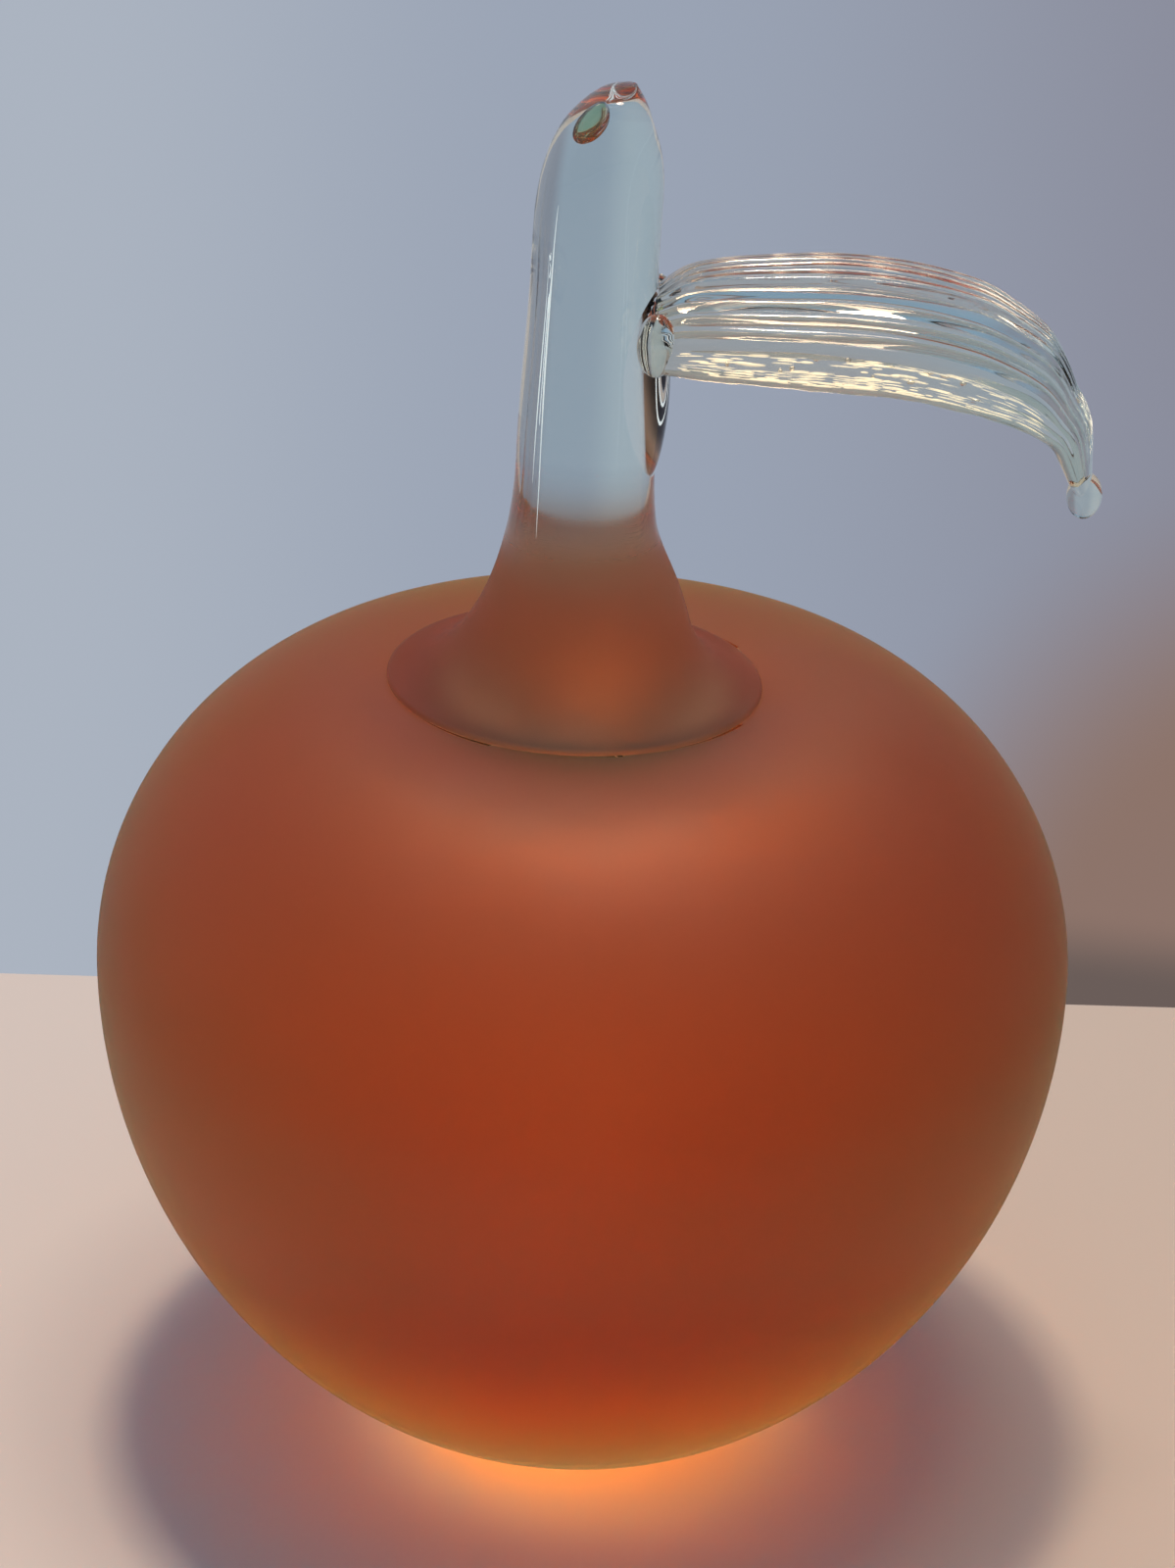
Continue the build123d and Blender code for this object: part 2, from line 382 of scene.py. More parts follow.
def top_outline(bm, vert, inset):
    # Shoulder, crown and dimple, from the equator to the axis.
    vert = arc(bm, vert, shoulder_x, equator, shoulder_turn)
    vert = arc(bm, vert, crown_reach, crown_z, pi / 2 + dimple_turn - shoulder_turn)
    vert = arc(bm, vert, dimple_x, dimple_z, -dimple_turn)
    return line_to(bm, vert, 0, dimple_floor - inset)


def outer_outline(bm):
    # The whole outline of the body, from the middle of its base.
    start_turn = asin((underside_z - base_bevel) / underside_radius)
    start_x = underside_x + underside_radius * cos(start_turn)
    vert = bm.verts.new((0, 0, 0))
    vert = line_to(bm, vert, base_radius - base_bevel, 0)
    vert = line_to(bm, vert, start_x, base_bevel)
    vert = arc(bm, vert, underside_x, underside_z, start_turn - flank_turn)
    vert = arc(bm, vert, flank_x, equator, flank_turn)
    return top_outline(bm, vert, 0)


def bubble_outline(bm, inset, floor):
    # The outline inside a wall: a round bubble below and the body's own shape above.
    reach = body_radius - inset
    depth = equator - floor
    start = Vector((0, 0, floor))
    low_pull = Vector((bubble_round_share * reach, 0, floor))
    side_pull = Vector((reach, 0, equator - bubble_round_share * depth))
    end = Vector((reach, 0, equator))
    steps = round(1.5 * reach / step_length)
    vert = bm.verts.new(start)
    for step in range(1, steps + 1):
        t = step / steps
        place = (
            (1 - t) ** 3 * start
            + 3 * (1 - t) ** 2 * t * low_pull
            + 3 * (1 - t) * t**2 * side_pull
            + t**3 * end
        )
        vert = line_to(bm, vert, place.x, place.z)
    return top_outline(bm, vert, inset)


print("helpers ready")

# %% [markdown]
# ## The stem's place
#
# The stem doesn't stand quite on the body's axis, and it leans towards the leaf. Its own
# frame is a matrix, so that all its pieces are modelled upright and then set in place.

# %% Stem sizes
stem_offset = -1.6 * mm
stem_lean = radians(1.2)
foot_radius = 18.8 * mm
foot_lift = 0.5 * mm
foot_edge_radius = 0.4 * mm
flare_height = 23.0 * mm
trunk_radius = 6.8 * mm
neck_radius = 6.1 * mm
trunk_length = 21.5 * mm
tip_length = 15.4 * mm
plug_radius = 6.2 * mm
plug_drop = 2.0 * mm
plug_round = 1.6 * mm
foot_height = crown_z + sqrt(crown_radius**2 - (crown_reach - foot_radius) ** 2) + foot_lift
plug_depth = foot_height - dimple_floor + casing_wall + colour_wall + plug_drop
stem_frame = Matrix.Translation((stem_offset, 0, foot_height)) @ Matrix.Rotation(stem_lean, 4, "Y")
plug_low = foot_height - plug_depth
print("foot at", round(foot_height / mm, 2), "mm, plug", round(plug_depth / mm, 2), "mm deep")

# %% [markdown]
# ## Glass
#
# All the glass is the same Principled shader at full transmission. Two things differ from
# face to face. Where two pieces were fused hot there is no surface to see, so those faces
# turn transparent: an attribute named "fused" says which they are. And where the glass
# was etched it is rough, with a fine grain that catches the light. The grain is a node
# group, because the casing and the stem's foot both use it.

# %% Etched grain group
grain_size = 0.12 * mm


def make_grain_group():
    # Fine grain of etched glass: a roughness that varies a little, and a normal.
    group = bpy.data.node_groups.new("etched_grain", "ShaderNodeTree")
    face = group.interface
    for name in ("Roughness", "Grain Size", "Depth"):
        face.new_socket(name, in_out="INPUT", socket_type="NodeSocketFloat")
    face.new_socket("Roughness", in_out="OUTPUT", socket_type="NodeSocketFloat")
    face.new_socket("Normal", in_out="OUTPUT", socket_type="NodeSocketVector")
    into = group.nodes.new("NodeGroupInput")
    out = group.nodes.new("NodeGroupOutput")
    place = object_place(group)
    scale = calculate(group, "DIVIDE", 1.0, into.outputs["Grain Size"])
    fine = add_node(group, "ShaderNodeTexNoise", Vector=place, Scale=scale, Detail=2.0)
    broad = add_node(group, "ShaderNodeTexNoise", Vector=place, Scale=60.0, Detail=3.0)
    bump = add_node(group, "ShaderNodeBump", Distance=0.02 * mm, Height=fine.outputs["Fac"])
    feed(group, bump.inputs["Strength"], into.outputs["Depth"])
    swing = map_range(group, broad.outputs["Fac"], 0.3, 0.7, 0.94, 1.06)
    rough = calculate(group, "MULTIPLY", into.outputs["Roughness"], swing)
    set_up(group, out, Roughness=rough, Normal=bump.outputs["Normal"])
    return group


grain_group = make_grain_group()
print("group", grain_group.name, "with", len(grain_group.nodes), "nodes")

# %% [markdown]
# Each glass is mixed with a Transparent shader, which takes over on fused faces. It also
# takes over for rays from the lamps: they pass straight through and are tinted, because a
# real glass apple throws a bright coloured shadow and not a black one.

# %% Glass that fuses
glass_ior = 1.5
white = (1, 1, 1, 1)


def make_glass(name, tint=white, through=white, shade=white, roughness=0.5):
    # Glass that turns transparent on fused faces and for rays from lamps. The tint is on
    # the glass face, the through colour on a fused face, the shade in the shadow.
    material = bpy.data.materials.new(name)
    material.use_nodes = True
    tree = material.node_tree
    shader = tree.nodes["Principled BSDF"]
    set_up(tree, shader, Base_Color=tint, Roughness=roughness, IOR=glass_ior)
    shader.inputs["Transmission Weight"].default_value = 1.0
    path = add_node(tree, "ShaderNodeLightPath")
    colour = mix_colour(tree, path.outputs["Is Shadow Ray"], through, shade)
    clear = add_node(tree, "ShaderNodeBsdfTransparent", Color=colour)
    fused = add_node(tree, "ShaderNodeAttribute", attribute_name="fused")
    inside = calculate(tree, "GREATER_THAN", fused.outputs["Fac"], 0.0)
    either = calculate(tree, "MAXIMUM", path.outputs["Is Shadow Ray"], inside)
    blend = add_node(tree, "ShaderNodeMixShader")
    for socket, value in zip(blend.inputs, (either, shader.outputs[0], clear.outputs[0])):
        tree.links.new(value, socket)
    set_up(tree, tree.nodes["Material Output"], Surface=blend.outputs[0])
    through_socket, shade_socket = colour.node.inputs[6], colour.node.inputs[7]
    return material, tree, shader, through_socket, shade_socket


def etch(tree, shader, roughness, depth):
    # Adds the etched grain to a glass and returns the group node.
    grain_node = add_node(tree, "ShaderNodeGroup", node_tree=grain_group)
    set_up(tree, grain_node, Roughness=roughness, Grain_Size=grain_size, Depth=depth)
    set_up(tree, shader, Normal=grain_node.outputs["Normal"])
    return grain_node


print("glass that fuses, ior", glass_ior)

# %% [markdown]
# The body's outer face is etched with acid, which gives it an even satin. Its orange tint
# changes with height, and that change is painted light: a painted glow at the base, which
# is orange, and painted shade in the middle, a deeper red, because less light gets there.
# A colour ramp over the object's height paints that with a few stops. The colour sits on
# the face and not in the depth of the glass, which keeps it even.
#
# The light that falls through the apple lands on the table as a warm glow in the middle
# of a cool shadow. The shade colour, which only lamp rays meet, follows the distance from
# the upright axis.

# %% Satin casing glass
satin_roughness = 0.64
# The orange tint with painted light: a painted glow low down and painted shade in the middle
body_tint_and_light_stops = (
    (0.08, (1.0, 0.88, 0.18, 1)),
    (0.22, (1.0, 0.84, 0.13, 1)),
    (0.38, (0.63, 0.69, 0.12, 1)),
    (0.60, (0.52, 0.68, 0.12, 1)),
    (0.92, (0.76, 0.64, 0.10, 1)),
)
bright_middle = (1.0, 0.80, 0.66, 1)
base_glow = (0.51, 0.63, 0.74, 1)
deep_shade = (0.03, 0.16, 0.30, 1)

casing_glass, tree, shader, through_socket, shade_socket = make_glass("satin_casing_glass")
place = object_place(tree)
grain_node = etch(tree, shader, satin_roughness, 0.35)
body_height = map_range(tree, coordinate(tree, place, "Z"), 0.0, 85 * mm, smooth=False)
body_tints_and_light = add_node(tree, "ShaderNodeValToRGB", Fac=body_height)
stops = body_tints_and_light.color_ramp.elements
for share, colour in body_tint_and_light_stops[1:-1]:
    stops.new(share)
for stop, (share, colour) in zip(stops, body_tint_and_light_stops):
    stop.position = share
    stop.color = colour
set_up(tree, shader, Base_Color=body_tints_and_light.outputs["Color"], Roughness=grain_node.outputs["Roughness"])

flat_place = vector_math(tree, "MULTIPLY", place, (1, 1, 0)).outputs["Vector"]
from_axis = vector_math(tree, "LENGTH", flat_place).outputs["Value"]
far_out = map_range(tree, from_axis, 20 * mm, 33 * mm)
under_base = map_range(tree, from_axis, 23 * mm, 16 * mm)
glow = mix_colour(tree, under_base, base_glow, bright_middle)
feed(tree, shade_socket, mix_colour(tree, far_out, glow, deep_shade))
print("casing glass,", len(body_tint_and_light_stops), "tints")

# %% [markdown]
# The orange is a thin gather of strong colour. Its outer face is fused to the casing, so
# its colour is taken there, as light passes through. Under the stem the bubble is painted
# dark: a painted shade that stands for the dim inside seen through the foot.

# %% Orange bubble glass
bubble_through = (0.98, 0.45, 0.265, 1)
# Painted shade: the bubble is darkened under the stem
painted_shade_under_stem = (0.27, 0.31, 0.26, 1)
under_plug = (0, 0, 78 * mm)
bubble_glass, tree, shader, through_socket, shade_socket = make_glass(
    "orange_glass", tint=(0.99, 0.70, 0.50, 1), roughness=0.34
)
from_plug = vector_math(tree, "DISTANCE", object_place(tree), under_plug).outputs["Value"]
under_stem_share = map_range(tree, from_plug, 20 * mm, 7 * mm)
feed(tree, through_socket, mix_colour(tree, under_stem_share, bubble_through, painted_shade_under_stem))
print("bubble glass, roughness", round(shader.inputs["Roughness"].default_value, 2))

# %% [markdown]
# The stem is clear glass with a faint green tint. The acid took its foot as well, up to a
# soft line on the flare. The foot's brown is painted: it stands for the orange body seen
# through the thick foot, as a painted reflection with painted shade. Both change with
# height. The end of the plug, inside the body, is painted dark as painted shade.

# %% Stem glass
etched_below = 95 * mm
polished_above = 102 * mm
trunk_tint = (0.755, 0.88, 0.87, 1)
# Painted: the foot's brown stands for the body seen through it, with shade, and the plug's end is painted
# shade
painted_foot_brown = (0.49, 0.265, 0.15, 1)
plug_painted_shade = (0.10, 0.13, 0.13, 1)
stem_glass, tree, shader, through_socket, shade_socket = make_glass(
    "clear_green_glass", shade=(0.80, 0.82, 0.80, 1)
)
height = coordinate(tree, object_place(tree), "Z")
grain_node = etch(tree, shader, 0.85, 0.3)
polish = map_range(tree, height, etched_below, polished_above, 1.0, 0.0)
gloss = calculate(tree, "MULTIPLY", grain_node.outputs["Roughness"], polish)
set_up(tree, grain_node, Depth=polish)
painted_brown_share = map_range(tree, height, 98 * mm, 106 * mm, 1.0, 0.0)
in_hollow = map_range(tree, height, plug_low + 3 * mm, plug_low + 2 * mm)
stem_tint = mix_colour(tree, painted_brown_share, trunk_tint, painted_foot_brown)
stem_tint = mix_colour(tree, in_hollow, stem_tint, plug_painted_shade)
set_up(tree, shader, Base_Color=stem_tint, Roughness=gloss)
print("stem glass, etched below", round(etched_below / mm), "mm")

# %% [markdown]
# The leaf's glass turns greener towards the tip, where it is thick for its width. Its lips
# are frosted in streaks by folds and fine seeds: an attribute on the mesh says where, and
# a noise stretched along the leaf breaks it up.

# %% Leaf glass
root_tint = (0.92, 0.88, 0.76, 1)
tip_tint = (0.87, 0.93, 0.85, 1)
leaf_glass, tree, shader, through_socket, shade_socket = make_glass(
    "clear_leaf_glass", shade=(0.85, 0.87, 0.84, 1)
)
place = object_place(tree)
towards_tip = map_range(tree, coordinate(tree, place, "X"), 22 * mm, 44 * mm)
leaf_tint = mix_colour(tree, towards_tip, root_tint, tip_tint)
frost = add_node(tree, "ShaderNodeAttribute", attribute_name="frost")
stretch = add_node(tree, "ShaderNodeMapping", Vector=place, Scale=(0.22, 1.0, 1.0))
streaks = add_node(tree, "ShaderNodeTexNoise", Vector=stretch.outputs[0], Scale=0.9 / mm, Detail=3.0)
patchy = map_range(tree, streaks.outputs["Fac"], 0.34, 0.56, 0.35, 1.0)
frosted = calculate(tree, "MULTIPLY", frost.outputs["Fac"], patchy)
leaf_roughness = map_range(tree, frosted, 0.0, 1.0, 0.02, 0.22, smooth=False)
set_up(tree, shader, Base_Color=leaf_tint, Roughness=leaf_roughness)
print("leaf glass, nodes", len(tree.nodes))

# %% [markdown]
# The pad is a small bit of clear glass. The bubble at the tip is glass painted green, a
# painted reflection of something green seen in it. The finest seeds and air lines are too
# thin to see through, and are painted white: a painted highlight for the light that runs
# along inside the glass and gathers in them, which a faint glow of their own stands for
# as well.

# %% Small glasses and white streaks
pad_glass = make_glass(
    "pad_glass", tint=(0.90, 0.97, 0.95, 1), shade=(0.85, 0.87, 0.84, 1), roughness=0.02
)[0]
# The tip bubble's green is a painted reflection of something green seen in it
tip_bubble_painted_green = make_glass(
    "tip_bubble_glass", tint=(0.60, 0.78, 0.50, 1), shade=(0.8, 0.9, 0.7, 1), roughness=0.1
)[0]


def make_glowing_white(name, colour, glow_colour, glow_strength, roughness):
    # A plain white that glows a little, as painted light.
    material = bpy.data.materials.new(name)
    material.use_nodes = True
    tree = material.node_tree
    glow = {"Emission_Color": glow_colour, "Emission_Strength": glow_strength}
    set_up(tree, tree.nodes["Principled BSDF"], Base_Color=colour, Roughness=roughness, **glow)
    return material


seed_highlight_white = make_glowing_white("seed_highlight_white", (1.0, 0.95, 0.80, 1), (1.0, 0.93, 0.76, 1), 0.36, 0.7)
air_line_highlight_white = make_glowing_white("air_line_highlight_white", (0.95, 1.0, 1.0, 1), (0.90, 0.97, 1.0, 1), 0.6, 0.5)
print("small glasses", pad_glass.name, tip_bubble_painted_green.name, seed_highlight_white.name, air_line_highlight_white.name)

# %% [markdown]
# ## Helpers for pieces
#
# A piece is a mesh with one or more glasses. Where two forms of one piece meet, as at the
# blow hole, they are cut or joined as closed solids. At the end each piece is set in the
# frame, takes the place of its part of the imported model, and gets its fused marks.

# %% Helpers for pieces
crease_angle = radians(35)


def spun_surface(draw):
    # A closed round surface from an outline, with its normals outwards.
    bm = bmesh.new()
    draw(bm)
    spin_round(bm)
    bmesh.ops.recalc_face_normals(bm, faces=bm.faces)
    return bm


def baked(piece):
    # Replaces a piece's mesh by what its modifiers make of it.
    bpy.context.view_layer.update()
    graph = bpy.context.evaluated_depsgraph_get()
    new_mesh = bpy.data.meshes.new_from_object(piece.evaluated_get(graph))
    piece.modifiers.clear()
    old = piece.data
    new_mesh.name = piece.name + "_mesh"
    piece.data = new_mesh
    bpy.data.meshes.remove(old)


def combine(piece, tool_bm, operation):
    # Cuts a closed mesh out of a piece, or joins it on.
    mesh = mesh_from(tool_bm, "tool")
    tool = add_object("tool", mesh)
    step = piece.modifiers.new("combine", "BOOLEAN")
    step.operation = operation
    step.solver = "EXACT"
    step.object = tool
    baked(piece)
    bpy.data.objects.remove(tool)
    bpy.data.meshes.remove(mesh)


def finish_piece(piece, node, domain, depth_of):
    # Smooth shading except at creases, the fused marks, and the piece's place in the frame.
    mesh = piece.data
    mesh.polygons.foreach_set("use_smooth", [True] * len(mesh.polygons))
    mesh.set_sharp_from_angle(angle=crease_angle)
    marks = mesh.attributes.new("fused", "FLOAT", domain)
    places = [p.center for p in mesh.polygons] if domain == "FACE" else [v.co for v in mesh.vertices]
    depths = [depth_of(place) for place in places]
    marks.data.foreach_set("value", depths)
    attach(piece, "root")
    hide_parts(node)
    print(piece.name, len(mesh.polygons), "faces,", sum(1 for d in depths if d > 0), "fused marks")


def new_piece(name, bm, material):
    # An object from a mesh, with one material.
    mesh = mesh_from(bm, name + "_mesh")
    mesh.materials.append(material)
    return add_object(name, mesh)


print("piece helpers ready")

# %% [markdown]
# ## The casing and the bubble
#
# Both are shells: a round surface inside another one. The blow hole at the top is cut
# with a cylinder, because the stem's plug goes through it. The glass of the two shells
# grew together while it was hot, so only the casing's outside and the bubble's inside
# are real glass faces. The others are marked as fused.

# %% Casing and bubble
# Two glasses that lie exactly on each other would hide one another from a ray, so the
# fused faces are kept a hair apart.
hair = 0.03 * mm
hollow_wall = casing_wall + colour_wall
hollow_floor = base_thickness + colour_wall


def blow_hole():
    # The cylinder of the stem's plug.
    bm = bmesh.new()
    sizes = {"radius1": plug_radius, "radius2": plug_radius, "depth": 2 * plug_depth}
    bmesh.ops.create_cone(bm, cap_ends=True, segments=96, matrix=stem_frame, **sizes)
    return bm


def shell(name, material, node, draw_outside, draw_inside, depth_of):
    # A round shell with the blow hole in it.
    outside = spun_surface(draw_outside)
    inside = spun_surface(draw_inside)
    outer_tree = BVHTree.FromBMesh(outside)
    inner_tree = BVHTree.FromBMesh(inside)
    bmesh.ops.reverse_faces(inside, faces=inside.faces)
    inner_mesh = mesh_from(inside, "inside")
    outside.from_mesh(inner_mesh)
    bpy.data.meshes.remove(inner_mesh)
    piece = new_piece(name, outside, material)
    combine(piece, blow_hole(), "DIFFERENCE")

    def side_of(place):
        # Which surface a face of the shell lies on.
        to_outer = outer_tree.find_nearest(place)[3]
        to_inner = inner_tree.find_nearest(place)[3]
        if min(to_outer, to_inner) > hair:
            return "hole"
        return "outside" if to_outer < to_inner else "inside"

    finish_piece(piece, node, "FACE", lambda place: depth_of(side_of(place), place))


def casing_depth(side, place):
    # Positive where the casing's face is fused.
    if side != "outside":
        return mm
    local = stem_frame.inverted() @ place
    covered = place.z > crown_z and hypot(local.x, local.y) < foot_radius
    return mm if covered else -mm


def bubble_depth(side, place):
    # Only the inside of the bubble is a real glass face.
    return -mm if side == "inside" else mm


shell(
    "apple_casing",
    casing_glass,
    "clear_casing",
    outer_outline,
    lambda bm: bubble_outline(bm, casing_wall, base_thickness),
    casing_depth,
)
shell(
    "apple_bubble",
    bubble_glass,
    "colour_bubble",
    lambda bm: bubble_outline(bm, casing_wall + hair, base_thickness + hair),
    lambda bm: bubble_outline(bm, hollow_wall, hollow_floor),
    bubble_depth,
)

# %% [markdown]
# ## The stem
#
# The stem is drawn up ring by ring, as hot glass is drawn: each level extrudes the ring
# below and gives it its own radius and middle. It starts at the plug inside the body,
# runs out along the body's top under the foot, turns up over the foot's edge and then
# follows the flare, the trunk and the sheared tip.

# %% Stem outline
tip_height_shares = (0.0, 0.20, 0.40, 0.58, 0.74, 0.86, 0.95, 1.0)
tip_radius_shares = (1.0, 0.995, 0.965, 0.88, 0.72, 0.54, 0.33, 0.13)
tip_lean_shares = (0.0, 0.01, 0.04, 0.068, 0.097, 0.168, 0.255, 0.38)
tip_depth_shares = (1.0, 1.0, 1.0, 0.975, 0.91, 0.80, 0.60, 0.20)
# A low swelling on the flare's right side
flare_swell = 1.1 * mm
# The drawn cords: how far round they run, how wide they are and how high, in mm
stem_cords = ((-2.33, 0.030, 0.11), (-2.52, 0.022, 0.05), (-2.66, 0.03, 0.06))
flare_reach = foot_radius - foot_edge_radius
tip_base = flare_height + trunk_length
stem_top = tip_base + tip_length


def smooth_through(places, values, place):
    # A smooth curve through given values, with no overshoot between them.
    count = len(places)
    slopes = [(values[i + 1] - values[i]) / (places[i + 1] - places[i]) for i in range(count - 1)]

    def tangent(i):
        # The slope that the curve has at a given value.
        if i == 0 or i == count - 1:
            return slopes[min(i, count - 2)]
        before, after = slopes[i - 1], slopes[i]
        return 0.0 if before * after <= 0 else 2 * before * after / (before + after)

    index = 0
    while index < count - 2 and place > places[index + 1]:
        index += 1
    span = places[index + 1] - places[index]
    t = (place - places[index]) / span
    start = (2 * t**3 - 3 * t**2 + 1) * values[index]
    start += (t**3 - 2 * t**2 + t) * span * tangent(index)
    end = (3 * t**2 - 2 * t**3) * values[index + 1]
    return start + end + (t**3 - t**2) * span * tangent(index + 1)


def bump(place, low, high):
    # A smooth hump: 0 outside low and high, 1 in the middle.
    t = (place - low) / (high - low)
    return sin(pi * t) ** 2 if 0 < t < 1 else 0.0


def stem_point(angle, height):
    # A point of the stem's outside, from its angle and its height over the foot.
    shift = 0.0
    depth = None
    if height < flare_height:
        rise = (flare_height - height) / flare_height
        radius = flare_reach - (flare_reach - trunk_radius) * sqrt(max(0, 1 - rise**2))
        radius += flare_swell * bump(height, 1.5 * mm, 17 * mm) * max(0, cos(angle)) ** 2
    elif height < tip_base:
        t = (height - flare_height) / trunk_length
        radius = trunk_radius + (neck_radius - trunk_radius) * t * t * (3 - 2 * t)
    else:
        share = (height - tip_base) / tip_length
        radius = neck_radius * smooth_through(tip_height_shares, tip_radius_shares, share)
        shift = neck_radius * smooth_through(tip_height_shares, tip_lean_shares, share)
        depth = neck_radius * smooth_through(tip_height_shares, tip_depth_shares, share)
    # Thin cords that were drawn out along the stem, in front at the left
    cords = 0.0
    for turn, width, rise in stem_cords:
        off = (angle - turn + pi) % (2 * pi) - pi + 0.03 * sin(height / (7 * mm))
        cords += rise * mm * exp(-((off / width) ** 2))
    cords *= min(1.0, max(0.0, (height - 14 * mm) / (8 * mm)))
    cords *= min(1.0, max(0.0, (stem_top - 5 * mm - height) / (8 * mm)))
    radius += cords
    out = Vector((shift + radius * cos(angle), (depth or radius) * sin(angle), height))
    return stem_frame @ out


def under_point(angle, radius):
    # A point of the foot's underside, which lies on the body's top.
    place = stem_frame @ Vector((radius * cos(angle), radius * sin(angle), 0))
    out = hypot(place.x, place.y)
    bend = crown_reach - crown_radius * sin(dimple_turn)
    if out > bend:
        place.z = crown_z + sqrt(crown_radius**2 - (crown_reach - out) ** 2)
    elif out > dimple_x:
        place.z = dimple_z - sqrt(dimple_radius**2 - (out - dimple_x) ** 2)
    else:
        place.z = dimple_floor
    place.z += hair
    return place


print("stem top", round(stem_top / mm, 1), "mm over the foot")

# %% [markdown]
# Three operators draw a piece from rings: a circle gives the first one, an extrusion of
# its edges gives each next one, and a face closes the end.

# %% Rings


def first_ring(bm, places):
    # A closed ring of vertices at the given places.
    made = bmesh.ops.create_circle(bm, cap_ends=False, segments=len(places), radius=1.0)["verts"]
    for vert, place in zip(made, places):
        vert.co = place
    return made


def ring_edges(bm, ring):
    # The edges between the vertices of a ring.
    return [bm.edges.get((a, b)) for a, b in zip(ring, ring[1:] + ring[:1])]


def draw_on(bm, ring, places):
    # Extrudes a ring and puts the new vertices at the given places.
    made = bmesh.ops.extrude_edge_only(bm, edges=ring_edges(bm, ring))["geom"]
    fresh = {item for item in made if isinstance(item, bmesh.types.BMVert)}
    new_ring = []
    for vert, place in zip(ring, places):
        new = next(e.other_vert(vert) for e in vert.link_edges if e.other_vert(vert) in fresh)
        new.co = place
        new_ring.append(new)
    return new_ring


def close_ring(bm, ring):
    # Closes a ring with a fan of triangles round a middle vertex.
    face = bmesh.ops.contextual_create(bm, geom=ring)["faces"]
    bmesh.ops.poke(bm, faces=face)


print("ring helpers ready")

# %% [markdown]
# The rings are closest where the form bends most: at the plug's rounded end, at the edge
# of the foot, at the start of the flare and at the tip.

# %% Stem
plug_steps = 6
seat_steps = 24
edge_steps = 5
flare_steps = 40
trunk_steps = 34
stem_segments = 240
angles = [2 * pi * i / stem_segments for i in range(stem_segments)]


def round_ring(radius, height):
    # A ring about the stem's own axis, by its height over the foot's edge.
    return [stem_frame @ Vector((radius * cos(a), radius * sin(a), height)) for a in angles]


bm = bmesh.new()
ring = first_ring(bm, round_ring(plug_radius - plug_round, -plug_depth))
close_ring(bm, ring)
for step in range(1, plug_steps + 1):
    turn = pi / 2 * step / plug_steps
    radius = plug_radius - plug_round * (1 - sin(turn))
    ring = draw_on(bm, ring, round_ring(radius, plug_round * (1 - cos(turn)) - plug_depth))
hollow_roof = foot_height - dimple_floor + hollow_wall
ring = draw_on(bm, ring, round_ring(plug_radius - hair, -hollow_roof))
for step in range(seat_steps + 1):
    radius = plug_radius + (foot_radius - plug_radius) * step / seat_steps
    ring = draw_on(bm, ring, [under_point(a, radius) for a in angles])
for step in range(edge_steps + 1):
    turn = pi / 2 * step / edge_steps
    radius = flare_reach + foot_edge_radius * cos(turn)
    ring = draw_on(bm, ring, round_ring(radius, foot_edge_radius * (sin(turn) - 1)))
flare_shares = [i / flare_steps for i in range(1, flare_steps + 1)]
trunk_shares = [i / trunk_steps for i in range(1, trunk_steps + 1)]
levels = [flare_height * (1 - cos(pi / 2 * share)) for share in flare_shares]
levels += [flare_height + trunk_length * share for share in trunk_shares]
levels += [tip_base + tip_length * sin(pi / 2 * share) for share in trunk_shares]
for level in levels:
    ring = draw_on(bm, ring, [stem_point(a, level) for a in angles])
close_ring(bm, ring)
bmesh.ops.recalc_face_normals(bm, faces=bm.faces)
stem = new_piece("drawn_stem", bm, stem_glass)
print("stem levels", len(levels), "with", stem_segments, "segments")

# %% [markdown]
# ## The leaf
#
# The leaf is an arch that runs along a drooping centre line. Each section is one closed
# ring: the outer face with its pressed ribs, a thick rounded lip, the plain inner face
# and the other lip. The rings are drawn on along the centre line, and the lips wander a
# little, as they do when the soft glass is pulled by hand.

# %% Leaf line
leaf_height = 32.9 * mm
leaf_root_share = 0.80
leaf_reach = 42.9 * mm
leaf_droop = 12.1 * mm
leaf_arch_radius = 12.0 * mm
leaf_lip_angle = radians(73.0)
leaf_wall = 2.4 * mm
leaf_lip_wall = 3.2 * mm
lip_bulge_share = 0.4
rib_count = 14
rib_height = 0.3 * mm
rib_span_angle = radians(56.0)
rib_rise = 1.6 * rib_height
leaf_reach_shares = (0.0, 0.28, 0.54, 0.765, 0.908, 1.0)
leaf_droop_shares = (0.0, 0.06, 0.115, 0.28, 0.52, 1.0)
leaf_station_shares = (0.0, 0.08, 0.23, 0.43, 0.62, 0.755, 0.857, 0.928, 1.0)
leaf_radius_shares = (0.60, 0.81, 0.93, 1.0, 0.965, 0.80, 0.48, 0.31, 0.167)

stem_middle = stem_frame @ Vector((0, 0, leaf_height))
root_x = stem_middle.x + leaf_root_share * neck_radius
line_steps = 400
line_points = []
for step in range(line_steps + 1):
    reach = step / line_steps
    droop = smooth_through(leaf_reach_shares, leaf_droop_shares, reach)
    line_points.append(Vector((root_x + reach * leaf_reach, 0, stem_middle.z - droop * leaf_droop)))
run = [0.0]
for first, second in zip(line_points, line_points[1:]):
    run.append(run[-1] + (second - first).length)


def on_line(station):
    # A place on the centre line, at a share of its length, and the way up from it.
    want = station * run[-1]
    index = min(range(len(run)), key=lambda i: abs(run[i] - want))
    low, high = max(0, index - 3), min(len(run) - 1, index + 3)
    along = (line_points[high] - line_points[low]).normalized()
    return line_points[index] + along * (want - run[index]), Vector((-along.z, 0, along.x))


